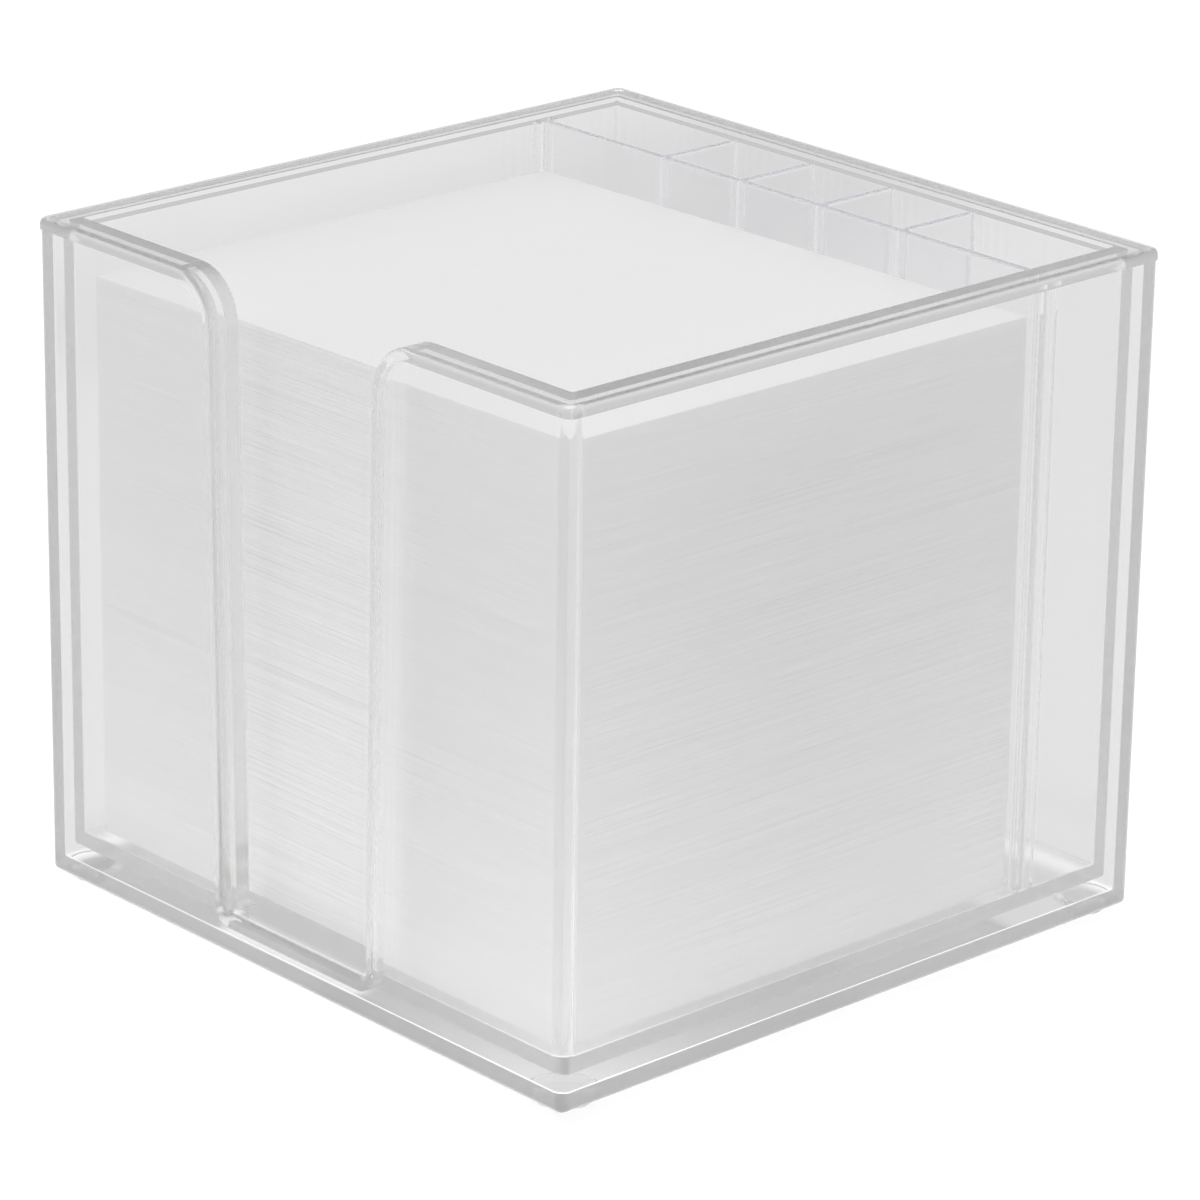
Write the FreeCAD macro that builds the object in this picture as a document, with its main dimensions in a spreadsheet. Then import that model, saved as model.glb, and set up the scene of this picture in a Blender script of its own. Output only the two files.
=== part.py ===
import FreeCAD, Part
import math
import os
import re
import Sketcher

# Clear double-walled memo box with loose sheets and a pen insert behind them.
# Millimetres. Origin in the middle of the footprint, on the plane that the feet stand on.
# -Y is the front with the finger slot, +X is to the right, +Z is up.

doc = FreeCAD.newDocument("memo_box")
sheet = doc.addObject("Spreadsheet::Sheet", "Sizes")

driving_sizes = [
    ("sheet_width", 89.0, "memo sheet, left to right"),
    ("sheet_depth", 75.0, "memo sheet, front to back"),
    ("side_play", 4.0, "room beside the sheets, left and right together"),
    ("left_play", 1.05, "room left of the sheets, past the rounding at the wall's foot"),
    ("front_play", 2.2, "room before the sheets, past the rounding at the wall's foot"),
    ("rear_play", 0.3, "room between the sheets and the pen insert"),
    ("sheaf_height", 4.85, "height of one sheaf of loose sheets"),
    ("sheaf_jog", 0.12, "how far a sheaf lies out of line"),
    ("bay_height", 84.2, "inner floor to rim top"),
    ("pen_depth", 13.1, "pen compartments, front to back"),
    ("outer_wall", 1.8, "wall of the outer shell"),
    ("wall_gap", 0.9, "air between the walls"),
    ("inner_wall", 1.4, "wall of the inner shell"),
    ("outer_floor", 2.0, "floor of the outer shell"),
    ("floor_gap", 1.85, "air between the floors"),
    ("inner_floor", 1.8, "floor of the inner shell"),
    ("seat_gap", 0.05, "room left where one shell seats on the other"),
    ("outer_corner", 1.3, "upright corners of the outer shell, outside"),
    ("cup_corner", 0.5, "upright corners of the outer shell, inside"),
    ("tub_corner", 0.6, "upright corners of the inner shell, outside"),
    ("bay_corner", 0.5, "upright corners of the inner shell, inside"),
    ("base_edge", 0.8, "rounding round the bottom of the outer shell"),
    ("tub_edge", 0.5, "rounding round the bottom of the inner shell"),
    ("inside_edge", 0.4, "rounding where a floor meets its walls"),
    ("rim_band", 1.5, "thickness of the rim and of the lip round the slot"),
    ("rim_overhang", 0.25, "how far the rim stands out over the outer wall"),
    ("rim_edge", 0.9, "rounding along the outer edge of the rim"),
    ("slot_width", 27.8, "finger slot, width at its sill"),
    ("slot_lean", 0.9, "lean of the slot's edges, in degrees"),
    ("slot_flare", 7.0, "radius where the rim turns down into the slot"),
    ("slot_corner", 1.0, "radius of the slot's bottom corners"),
    ("divider_wall", 1.2, "long wall of the pen insert"),
    ("cross_wall", 1.1, "cross walls of the pen insert"),
    ("cross_pitch", 14.8, "from one cross wall to the next"),
    ("insert_drop", 0.8, "insert top below the rim top"),
    ("insert_play", 0.1, "room past the ends of the insert's walls and the rounding there"),
    ("insert_edge", 0.3, "rounding along the insert's top"),
    ("guide_rib", 1.0, "width of a guide rib, and how far it stands out"),
    ("groove_play", 0.15, "room beside the insert in its groove"),
    ("foot_diameter", 7.5, "stick-on foot, across its base"),
    ("foot_flat", 4.4, "stick-on foot, across its flat"),
    ("foot_height", 1.0, "stick-on foot, height"),
    ("foot_side", 0.4, "straight part of the foot's edge"),
    ("foot_inset", 4.8, "foot centre from the outer walls"),
    ("glue_film", 0.05, "film of glue over a foot"),
]
for row, (alias, value, note) in enumerate(driving_sizes, 1):
    sheet.set("A%d" % row, note)
    sheet.set("B%d" % row, str(value))
    sheet.setAlias("B%d" % row, alias)
doc.recompute()

sheaf_count = 16
cross_wall_count = 4
tolerance = 0.01
cut_margin = 2.0
aliases = sorted((alias for alias, value, note in driving_sizes), key=len, reverse=True)
alias_pattern = re.compile(r"\b(%s)\b" % "|".join(aliases))

# Sizes that follow from the driving ones
wall = "(outer_wall + wall_gap + inner_wall)"
bay_width = "(sheet_width + side_play)"
bay_depth = "(inside_edge + front_play + sheet_depth + rear_play + divider_wall + pen_depth)"
box_width = "(%s + 2 * %s)" % (bay_width, wall)
box_depth = "(%s + 2 * %s)" % (bay_depth, wall)
cup_width = "(%s - 2 * outer_wall)" % box_width
cup_depth = "(%s - 2 * outer_wall)" % box_depth
tub_width = "(%s + 2 * inner_wall)" % bay_width
tub_depth = "(%s + 2 * inner_wall)" % bay_depth
box_bottom = "(foot_height + glue_film)"
cup_floor = "(%s + outer_floor)" % box_bottom
tub_bottom = "(%s + floor_gap)" % cup_floor
bay_floor = "(%s + inner_floor)" % tub_bottom
rim_top = "(%s + bay_height)" % bay_floor
rim_bottom = "(%s - rim_band)" % rim_top
slot_sill = bay_floor
sheets_front = "(-%s / 2 + inside_edge + front_play)" % bay_depth
sheets_left = "(-%s / 2 + inside_edge + left_play)" % bay_width
divider_front = "(%s + sheet_depth + rear_play)" % sheets_front
divider_rear = "(%s + divider_wall)" % divider_front
over_rim = "(%s + %g)" % (rim_top, cut_margin)


def sized(expression):
    return alias_pattern.sub(r"Sizes.\1", expression)


def size(expression):
    return float(sheet.evalExpression(sized(expression)))


def new_body(label):
    body = doc.addObject("PartDesign::Body", label)
    body.Label = label
    return body


def new_sketch(body, name, plane, offset):
    sketch = body.newObject("Sketcher::SketchObject", name)
    support = [p for p in body.Origin.OriginFeatures if p.Role == plane][0]
    sketch.AttachmentSupport = [(support, "")]
    sketch.MapMode = "FlatFace"
    sketch.setExpression("AttachmentOffset.Base.z", sized(offset))
    return sketch


def drive(sketch, name, constraint, expression):
    # a sketch dimension that follows the sheet
    index = sketch.addConstraint(constraint)
    sketch.renameConstraint(index, name)
    sketch.setExpression("Constraints." + name, sized(expression))


def line(sketch, start, end):
    return sketch.addGeometry(Part.LineSegment(FreeCAD.Vector(*start, 0), FreeCAD.Vector(*end, 0)))


def arc(sketch, centre, radius, from_degrees, to_degrees):
    circle = Part.Circle(FreeCAD.Vector(*centre, 0), FreeCAD.Vector(0, 0, 1), radius)
    return sketch.addGeometry(
        Part.ArcOfCircle(circle, math.radians(from_degrees), math.radians(to_degrees)))


def round_rectangle(sketch, across, along, radius):
    # a centred rectangle with round corners
    x, y, r = size(across) / 2, size(along) / 2, size(radius)
    sides = [
        line(sketch, (r - x, -y), (x - r, -y)),
        line(sketch, (x, r - y), (x, y - r)),
        line(sketch, (x - r, y), (r - x, y)),
        line(sketch, (-x, y - r), (-x, r - y)),
    ]
    corners = [
        arc(sketch, (x - r, r - y), r, 270, 360),
        arc(sketch, (x - r, y - r), r, 0, 90),
        arc(sketch, (r - x, y - r), r, 90, 180),
        arc(sketch, (r - x, r - y), r, 180, 270),
    ]
    for index in range(4):
        sketch.addConstraint(Sketcher.Constraint("Tangent", sides[index], 2, corners[index], 1))
        sketch.addConstraint(
            Sketcher.Constraint("Tangent", corners[index], 2, sides[(index + 1) % 4], 1))
        direction = "Vertical" if index % 2 else "Horizontal"
        sketch.addConstraint(Sketcher.Constraint(direction, sides[index]))
        if index:
            sketch.addConstraint(Sketcher.Constraint("Equal", corners[0], corners[index]))
    sketch.addConstraint(Sketcher.Constraint("Symmetric", sides[0], 1, sides[2], 1, -1, 1))
    drive(sketch, "across", Sketcher.Constraint("DistanceX", sides[3], 1, sides[1], 1, 2 * x), across)
    drive(sketch, "along", Sketcher.Constraint("DistanceY", sides[0], 1, sides[2], 2, 2 * y), along)
    drive(sketch, "radius", Sketcher.Constraint("Radius", corners[0], r), radius)


def rectangle(sketch, left, right, low, high):
    # a rectangle between four named places
    x0, x1, y0, y1 = size(left), size(right), size(low), size(high)
    points = [(x0, y0), (x1, y0), (x1, y1), (x0, y1)]
    sides = [line(sketch, points[index], points[(index + 1) % 4]) for index in range(4)]
    for index in range(4):
        sketch.addConstraint(Sketcher.Constraint("Coincident", sides[index], 2, sides[(index + 1) % 4], 1))
        direction = "Vertical" if index % 2 else "Horizontal"
        sketch.addConstraint(Sketcher.Constraint(direction, sides[index]))
    drive(sketch, "left", Sketcher.Constraint("DistanceX", -1, 1, sides[0], 1, x0), left)
    drive(sketch, "right", Sketcher.Constraint("DistanceX", -1, 1, sides[1], 1, x1), right)
    drive(sketch, "low", Sketcher.Constraint("DistanceY", -1, 1, sides[0], 1, y0), low)
    drive(sketch, "high", Sketcher.Constraint("DistanceY", -1, 1, sides[2], 1, y1), high)


def slot_outline(sketch, grow, under, top):
    # the finger slot seen from the front, made larger by grow, deeper by under and closed at top:
    # a level sill, leaning edges, and arcs that turn out level with the rim
    lean = math.radians(size("slot_lean"))
    sill = "(%s - %s)" % (slot_sill, under)
    half = "(slot_width / 2 + (%s - %s * sin(slot_lean)) / cos(slot_lean))" % (grow, under)
    flare = "(slot_flare - %s)" % grow
    corner = "(slot_corner + %s)" % grow
    mouth = "(%s - %s)" % (rim_top, grow)
    x0, z0, r1, r0 = size(half), size(sill), size(flare), size(corner)
    z1, z2 = size(mouth), size(top)
    across = (math.cos(lean), -math.sin(lean))
    # centre of the bottom corner, inside the slot, one radius from the sill and from the edge
    low = (x0 + (r0 * math.sin(lean) - r0) / math.cos(lean), z0 + r0)
    # centre of the flare, in the wall, one radius below the mouth and one from the edge
    high = (x0 + (r1 + (z1 - r1 - z0) * math.sin(lean)) / math.cos(lean), z1 - r1)
    edge_low = (low[0] + r0 * across[0], low[1] + r0 * across[1])
    edge_high = (high[0] - r1 * across[0], high[1] - r1 * across[1])
    turn = size("slot_lean")
    shapes = {}
    for side in (1, -1):
        def place(point):
            return (side * point[0], point[1])
        shapes[side] = {
            "edge": line(sketch, place(edge_low), place(edge_high)),
            "jamb": line(sketch, place((high[0], z1)), place((high[0], z2))),
        }
        if side > 0:
            shapes[side]["corner"] = arc(sketch, low, r0, 270, 360 - turn)
            shapes[side]["flare"] = arc(sketch, high, r1, 90, 180 - turn)
            ends = {"sill": 1, "edge": 2, "mouth": 1, "inner": 2}
        else:
            shapes[side]["corner"] = arc(sketch, place(low), r0, 180 + turn, 270)
            shapes[side]["flare"] = arc(sketch, place(high), r1, turn, 90)
            ends = {"sill": 2, "edge": 1, "mouth": 2, "inner": 1}
        shapes[side]["ends"] = ends
    floor = line(sketch, (-low[0], z0), (low[0], z0))
    cap = line(sketch, (high[0], z2), (-high[0], z2))
    for side, floor_end, cap_end in ((1, 2, 1), (-1, 1, 2)):
        s = shapes[side]
        e = s["ends"]
        sketch.addConstraint(Sketcher.Constraint("Tangent", floor, floor_end, s["corner"], e["sill"]))
        sketch.addConstraint(Sketcher.Constraint("Tangent", s["corner"], e["edge"], s["edge"], 1))
        sketch.addConstraint(Sketcher.Constraint("Tangent", s["edge"], 2, s["flare"], e["inner"]))
        sketch.addConstraint(Sketcher.Constraint("Coincident", s["flare"], e["mouth"], s["jamb"], 1))
        sketch.addConstraint(Sketcher.Constraint("Coincident", s["jamb"], 2, cap, cap_end))
        sketch.addConstraint(Sketcher.Constraint("Vertical", s["jamb"]))
        sketch.addConstraint(Sketcher.Constraint("Vertical", s["flare"], 3, s["flare"], e["mouth"]))
    right, left = shapes[1], shapes[-1]
    sketch.addConstraint(Sketcher.Constraint("Horizontal", right["jamb"], 1, left["jamb"], 1))
    sketch.addConstraint(Sketcher.Constraint("Equal", right["corner"], left["corner"]))
    sketch.addConstraint(Sketcher.Constraint("Equal", right["flare"], left["flare"]))
    sketch.addConstraint(Sketcher.Constraint("Symmetric", floor, 1, floor, 2, -2))
    sketch.addConstraint(Sketcher.Constraint("Symmetric", cap, 1, cap, 2, -2))
    half_floor = "(%s + %s * (sin(slot_lean) - 1) / cos(slot_lean))" % (half, corner)
    drive(sketch, "floor", Sketcher.Constraint("DistanceX", floor, 1, floor, 2, 2 * low[0]),
          "2 * " + half_floor)
    drive(sketch, "sill", Sketcher.Constraint("DistanceY", -1, 1, floor, 1, z0), sill)
    drive(sketch, "mouth", Sketcher.Constraint("DistanceY", -1, 1, right["jamb"], 1, z1), mouth)
    drive(sketch, "top", Sketcher.Constraint("DistanceY", -1, 1, cap, 1, z2), top)
    drive(sketch, "corner", Sketcher.Constraint("Radius", right["corner"], r0), corner)
    drive(sketch, "flare", Sketcher.Constraint("Radius", right["flare"], r1), flare)
    upright = "%s + (%s + (%s - %s - %s) * sin(slot_lean)) / cos(slot_lean)" % (
        half, flare, mouth, flare, sill)
    drive(sketch, "upright", Sketcher.Constraint("DistanceX", -1, 1, right["jamb"], 1, high[0]), upright)


def pad(body, name, sketch, length):
    feature = body.newObject("PartDesign::Pad", name)
    feature.Profile = sketch
    feature.setExpression("Length", sized(length))
    doc.recompute()
    return feature


def pocket(body, name, sketch, length, up=False):
    # cuts against the sketch's normal, or along it when up is set
    before = body.Shape.Volume
    feature = body.newObject("PartDesign::Pocket", name)
    feature.Profile = sketch
    feature.Reversed = up
    feature.setExpression("Length", sized(length))
    doc.recompute()
    if body.Shape.Volume > before - tolerance:
        raise RuntimeError("%s cuts nothing" % name)
    return feature


def fillet(body, name, chosen, radius):
    # rounds the edges that the test picks
    base = body.Tip
    names = ["Edge%d" % (index + 1) for index, edge in enumerate(base.Shape.Edges) if chosen(edge)]
    feature = body.newObject("PartDesign::Fillet", name)
    feature.Base = (base, names)
    feature.setExpression("Radius", sized(radius))
    doc.recompute()
    return feature


def level_at(height):
    # picks the edges that lie flat at this height
    def chosen(edge):
        box = edge.BoundBox
        return abs(box.ZMin - height) < tolerance and abs(box.ZMax - height) < tolerance
    return chosen


def outer_shell():
    # a plain cup whose front is cut away for the slot and the lip round it
    body = new_body("outer_shell")
    block = new_sketch(body, "CupOutline", "XY_Plane", box_bottom)
    round_rectangle(block, box_width, box_depth, "outer_corner")
    pad(body, "CupBlock", block, "%s - seat_gap - %s" % (rim_bottom, box_bottom))
    fillet(body, "CupBase", level_at(size(box_bottom)), "base_edge")
    hollow = new_sketch(body, "CupHollow", "XY_Plane", rim_bottom)
    round_rectangle(hollow, cup_width, cup_depth, "cup_corner")
    pocket(body, "CupInside", hollow, "%s - %s" % (rim_bottom, cup_floor))
    fillet(body, "CupFloorEdge", level_at(size(cup_floor)), "inside_edge")
    slot = new_sketch(body, "CupSlot", "XZ_Plane", "%s / 2 + %g" % (box_depth, cut_margin))
    slot_outline(slot, "(rim_band + seat_gap)", "(inner_floor + seat_gap)", over_rim)
    pocket(body, "CupSlotCut", slot, "outer_wall + inside_edge + %g" % cut_margin)
    return body


def inner_shell():
    # a tub that hangs in the cup by its rim; the rim runs on as a lip down and under the slot
    body = new_body("inner_shell")
    block = new_sketch(body, "TubOutline", "XY_Plane", tub_bottom)
    round_rectangle(block, tub_width, tub_depth, "tub_corner")
    pad(body, "TubBlock", block, "%s - %s" % (rim_bottom, tub_bottom))
    fillet(body, "TubBase", level_at(size(tub_bottom)), "tub_edge")
    rim = new_sketch(body, "RimOutline", "XY_Plane", rim_bottom)
    round_rectangle(rim, "(%s + 2 * rim_overhang)" % box_width, "(%s + 2 * rim_overhang)" % box_depth,
                    "(outer_corner + rim_overhang)")
    pad(body, "Rim", rim, "rim_band")
    lip = new_sketch(body, "LipOutline", "XZ_Plane", "%s / 2 - inner_wall" % bay_depth)
    slot_outline(lip, "rim_band", "inner_floor", rim_top)
    pad(body, "Lip", lip, "%s + inner_wall + rim_overhang" % wall)
    bay = new_sketch(body, "BayOutline", "XY_Plane", rim_top)
    round_rectangle(bay, bay_width, bay_depth, "bay_corner")
    pocket(body, "Bay", bay, "bay_height")
    fillet(body, "BayFloorEdge", level_at(size(bay_floor)), "inside_edge")
    slot = new_sketch(body, "SlotOutline", "XZ_Plane",
                      "%s / 2 + rim_overhang + %g" % (box_depth, cut_margin))
    slot_outline(slot, "0", "0", over_rim)
    pocket(body, "Slot", slot, "%s + rim_overhang + inside_edge + %g" % (wall, cut_margin))
    fillet(body, "RimEdge", rim_edges(body), "rim_edge")
    for name, start in (("FrontGuide", "%s - groove_play - guide_rib" % divider_front),
                        ("RearGuide", "%s + groove_play" % divider_rear)):
        guide_ribs(body, name, start)
    return body


def rim_edges(body):
    # picks the outer edge of the rim and, on the front, the edge that follows the slot
    shape = body.Tip.Shape
    front = -size(box_depth) / 2 - size("rim_overhang")
    top = size(rim_top)
    inside_x = size(bay_width) / 2 + size("inner_wall")
    inside_y = size(bay_depth) / 2 + size("inner_wall")
    high_point = FreeCAD.Vector(0, front, 3 * top)

    def faces_slot(edge):
        middle = edge.valueAt((edge.FirstParameter + edge.LastParameter) / 2)
        for face in shape.Faces:
            if abs(face.BoundBox.YMax - front) < tolerance:
                continue
            if any(edge.isSame(other) for other in face.Edges):
                u, v = face.Surface.parameter(middle)
                return face.normalAt(u, v).dot(high_point - middle) > 0
        return False

    def chosen(edge):
        box = edge.BoundBox
        middle = edge.valueAt((edge.FirstParameter + edge.LastParameter) / 2)
        if abs(box.YMin - front) < tolerance and abs(box.YMax - front) < tolerance:
            return faces_slot(edge)
        outside = abs(middle.x) > inside_x or abs(middle.y) > inside_y
        return level_at(top)(edge) and outside and box.DiagonalLength > 2 * tolerance
    return chosen


def guide_ribs(body, name, start):
    # an upright rib on each side wall, which holds the insert's long wall
    for side, sign in (("Left", "-"), ("Right", "")):
        sketch = new_sketch(body, side + name, "XY_Plane", bay_floor)
        face = "%s%s / 2" % (sign, bay_width)
        if sign:
            reach = ("%s - inside_edge" % face, "%s + guide_rib" % face)
        else:
            reach = ("%s - guide_rib" % face, "%s + inside_edge" % face)
        rectangle(sketch, reach[0], reach[1], start, "%s + guide_rib" % start)
        pad(body, side + name + "Rib", sketch, "bay_height - insert_drop")


def pen_insert():
    # a long wall in the guides with cross walls behind it
    body = new_body("pen_insert")
    half = "(%s / 2 - inside_edge - insert_play)" % bay_width
    height = "bay_height - insert_drop"
    long_wall = new_sketch(body, "LongWallOutline", "XY_Plane", bay_floor)
    rectangle(long_wall, "-" + half, half, divider_front, divider_rear)
    pad(body, "LongWall", long_wall, height)
    cross = new_sketch(body, "CrossWallOutline", "XY_Plane", bay_floor)
    first = "-%d * cross_pitch / 2" % (cross_wall_count - 1)
    rectangle(cross, first + " - cross_wall / 2", first + " + cross_wall / 2",
              "%s + divider_wall / 2" % divider_front, "%s / 2 - inside_edge - insert_play" % bay_depth)
    wall_pad = pad(body, "CrossWall", cross, height)
    row = body.newObject("PartDesign::LinearPattern", "CrossWalls")
    row.Originals = [wall_pad]
    row.Direction = (cross, ["H_Axis"])
    row.Occurrences = cross_wall_count
    row.setExpression("Length", sized("%d * cross_pitch" % (cross_wall_count - 1)))
    body.Tip = row
    doc.recompute()
    fillet(body, "InsertTop", level_at(size("%s - insert_drop" % rim_top)), "insert_edge")
    return body


def foot(label, x_side, y_side):
    # a clear stick-on foot: a flat-bottomed dome
    body = new_body(label)
    sketch = new_sketch(body, label + "_profile", "XZ_Plane", "0")
    base, flat = size("foot_diameter / 2"), size("foot_flat / 2")
    height, side = size("foot_height"), size("foot_height - foot_side")
    dome_centre = (base ** 2 + side ** 2 - flat ** 2) / (2 * side)
    dome = math.hypot(flat, dome_centre)
    start = math.degrees(math.atan2(-dome_centre, flat))
    end = math.degrees(math.atan2(side - dome_centre, base))
    bottom = line(sketch, (0, 0), (flat, 0))
    curve = arc(sketch, (0, dome_centre), dome, start, end)
    edge = line(sketch, (base, side), (base, height))
    top = line(sketch, (base, height), (0, height))
    axis = line(sketch, (0, height), (0, 0))
    for before, before_end, after, after_end in (
            (bottom, 2, curve, 1), (curve, 2, edge, 1), (edge, 2, top, 1), (top, 2, axis, 1)):
        sketch.addConstraint(Sketcher.Constraint("Coincident", before, before_end, after, after_end))
    sketch.addConstraint(Sketcher.Constraint("Coincident", axis, 2, -1, 1))
    sketch.addConstraint(Sketcher.Constraint("Coincident", bottom, 1, -1, 1))
    sketch.addConstraint(Sketcher.Constraint("Horizontal", bottom))
    sketch.addConstraint(Sketcher.Constraint("Vertical", edge))
    sketch.addConstraint(Sketcher.Constraint("Horizontal", top))
    sketch.addConstraint(Sketcher.Constraint("Vertical", axis))
    sketch.addConstraint(Sketcher.Constraint("PointOnObject", curve, 3, -2))
    drive(sketch, "flat", Sketcher.Constraint("DistanceX", bottom, 1, bottom, 2, flat), "foot_flat / 2")
    drive(sketch, "base", Sketcher.Constraint("DistanceX", top, 2, top, 1, base), "foot_diameter / 2")
    drive(sketch, "side", Sketcher.Constraint("DistanceY", edge, 1, edge, 2, height - side), "foot_side")
    drive(sketch, "height", Sketcher.Constraint("DistanceY", axis, 2, axis, 1, height), "foot_height")
    turned = body.newObject("PartDesign::Revolution", label + "_dome")
    turned.Profile = sketch
    turned.ReferenceAxis = (sketch, ["V_Axis"])
    turned.Angle = 360
    body.setExpression("Placement.Base.x", sized("%d * (%s / 2 - foot_inset)" % (x_side, box_width)))
    body.setExpression("Placement.Base.y", sized("%d * (%s / 2 - foot_inset)" % (y_side, box_depth)))
    doc.recompute()
    return body


def memo_sheaf(index):
    # about fifty loose sheets, a little out of line with those below
    turn = 137.5 * index
    sheaf = doc.addObject("Part::Box", "memo_sheaf_%02d" % (index + 1))
    sheaf.Label = sheaf.Name
    sheaf.setExpression("Length", sized("sheet_width"))
    sheaf.setExpression("Width", sized("sheet_depth"))
    sheaf.setExpression("Height", sized("sheaf_height"))
    sheaf.setExpression("Placement.Base.x", sized("%s + sheaf_jog * cos(%g)" % (sheets_left, turn)))
    sheaf.setExpression("Placement.Base.y", sized("%s + sheaf_jog * sin(%g)" % (sheets_front, turn)))
    sheaf.setExpression("Placement.Base.z", sized("%s + %d * sheaf_height" % (bay_floor, index)))
    return sheaf


pieces = [outer_shell(), inner_shell(), pen_insert()]
for end, y_side in (("front", -1), ("rear", 1)):
    for side, x_side in (("left", -1), ("right", 1)):
        pieces.append(foot("foot_%s_%s" % (end, side), x_side, y_side))
for index in range(sheaf_count):
    pieces.append(memo_sheaf(index))
doc.recompute()

for item in doc.Objects:
    if "Invalid" in item.State or "Error" in item.State:
        raise RuntimeError("%s did not build: %s" % (item.Label, item.State))
for piece in pieces:
    shape = piece.Shape
    if shape.isNull() or not shape.isValid() or len(shape.Solids) != 1:
        raise RuntimeError("%s is not one sound solid" % piece.Label)

os.makedirs("parts", exist_ok=True)
for piece in pieces:
    piece.Shape.exportStep("parts/%s.step" % piece.Label)
    box = piece.Shape.BoundBox
    print("%-18s volume %9.1f  z %6.2f to %6.2f" % (piece.Label, piece.Shape.Volume, box.ZMin, box.ZMax))
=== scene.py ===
import math

import bpy
import numpy as np
from mathutils import Matrix, Vector


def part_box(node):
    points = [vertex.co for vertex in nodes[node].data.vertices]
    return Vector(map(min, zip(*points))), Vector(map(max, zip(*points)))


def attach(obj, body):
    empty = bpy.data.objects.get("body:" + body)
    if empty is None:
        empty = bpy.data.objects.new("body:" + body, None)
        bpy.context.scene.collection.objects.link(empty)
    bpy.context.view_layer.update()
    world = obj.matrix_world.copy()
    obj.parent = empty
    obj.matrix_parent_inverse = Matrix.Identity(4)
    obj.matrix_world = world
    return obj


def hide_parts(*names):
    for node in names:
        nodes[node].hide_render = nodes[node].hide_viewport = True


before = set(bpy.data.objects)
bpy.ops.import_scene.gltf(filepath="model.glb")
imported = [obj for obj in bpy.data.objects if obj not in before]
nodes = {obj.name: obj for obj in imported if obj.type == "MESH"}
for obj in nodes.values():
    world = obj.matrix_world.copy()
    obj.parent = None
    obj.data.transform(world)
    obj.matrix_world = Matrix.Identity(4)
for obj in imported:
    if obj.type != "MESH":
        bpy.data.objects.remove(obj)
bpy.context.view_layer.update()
scene = bpy.context.scene
scene.view_settings.view_transform = "Standard"
print("frame loaded,", len(nodes), "CAD nodes")

# clear walls stand one behind the other, and light runs along inside them from face to face
clearBounces = 160
mattBounces = 16
scene.cycles.max_bounces = clearBounces
scene.cycles.transmission_bounces = clearBounces
scene.cycles.glossy_bounces = clearBounces
scene.cycles.diffuse_bounces = mattBounces
scene.cycles.blur_glossy = 0


# camera
cameraLook = {
    "azimuth": 47.39,           # degrees to the right of the front
    "elevation": 20.238,
    "roll": 0.849,
    "distance": 0.72936,
    "aim": (0.0, 0.0, 0.048638),
    "slide": (0.001003, -0.007004),   # of the aim, across and up in the picture
    "focalPixels": 5640.3,
    "framePixels": 1200,
    "sensor": 36.0,             # millimetres
    "clip": (0.01, 50.0),
}


def placeCamera(look):
    # the camera stands back from the aim along its azimuth and elevation, and is rolled about that line
    azimuth, elevation, roll = (math.radians(look[k]) for k in ("azimuth", "elevation", "roll"))
    level = math.cos(elevation)
    back = Vector((math.sin(azimuth) * level, -math.cos(azimuth) * level, math.sin(elevation)))
    right = Vector((math.cos(azimuth), math.sin(azimuth), 0))
    up = back.cross(right)
    across = right * math.cos(roll) + up * math.sin(roll)
    upward = up * math.cos(roll) - right * math.sin(roll)
    spot = Vector(look["aim"]) + across * look["slide"][0] + upward * look["slide"][1]
    data = bpy.data.cameras.new("photoCamera")
    data.sensor_width = look["sensor"]
    data.lens = look["sensor"] * look["focalPixels"] / look["framePixels"]
    data.clip_start, data.clip_end = look["clip"]
    camera = bpy.data.objects.new("photoCamera", data)
    turn = Matrix((across, upward, back)).transposed().to_4x4()
    camera.matrix_world = Matrix.Translation(spot + back * look["distance"]) @ turn
    scene.collection.objects.link(camera)
    scene.camera = camera


placeCamera(cameraLook)
print("camera placed")


# node helpers
pureWhite = (1.0, 1.0, 1.0, 1.0)
noiseMiddle = 0.5               # a noise texture's average
noneYet = 0.5                   # a count below this is none


def addNode(tree, kind, place, **values):
    node = tree.nodes.new(kind)
    node.location = place
    for key, value in values.items():
        if key in node.inputs:
            node.inputs[key].default_value = value
        else:
            setattr(node, key, value)
    return node


def wire(tree, start, end):
    tree.links.new(start, end)


def newMaterial(name):
    material = bpy.data.materials.new(name)
    material.use_nodes = True
    material.node_tree.nodes.clear()
    return material


def mathNode(tree, operation, place, first, second=None):
    node = addNode(tree, "ShaderNodeMath", place, operation=operation)
    for socket, value in zip(node.inputs, (first, second)):
        if value is None:
            continue
        if isinstance(value, (int, float)):
            socket.default_value = value
        else:
            wire(tree, value, socket)
    return node.outputs[0]


def rangeNode(tree, place, socket, start, end, low=0.0, high=1.0):
    # low before the start, high after the end, and a smooth step between them
    node = addNode(tree, "ShaderNodeMapRange", place, interpolation_type="SMOOTHSTEP")
    for key, value in (("From Min", start), ("From Max", end), ("To Min", low), ("To Max", high)):
        node.inputs[key].default_value = value
    wire(tree, socket, node.inputs["Value"])
    return node.outputs["Result"]


def mixShaders(tree, place, share, first, second):
    node = addNode(tree, "ShaderNodeMixShader", place)
    for socket, value in zip(node.inputs, (share, first, second)):
        wire(tree, value, socket)
    return node.outputs[0]


def seenInClear(tree, path):
    # one where clear plastic shows its surroundings to the camera, before the ray meets any matt surface
    straight = mathNode(tree, "LESS_THAN", (-400, 460), path.outputs["Diffuse Depth"], noneYet)
    either = mathNode(tree, "MAXIMUM", (-400, 300), path.outputs["Is Transmission Ray"],
                      path.outputs["Is Glossy Ray"])
    return mathNode(tree, "MULTIPLY", (-200, 380), either, straight)


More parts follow.
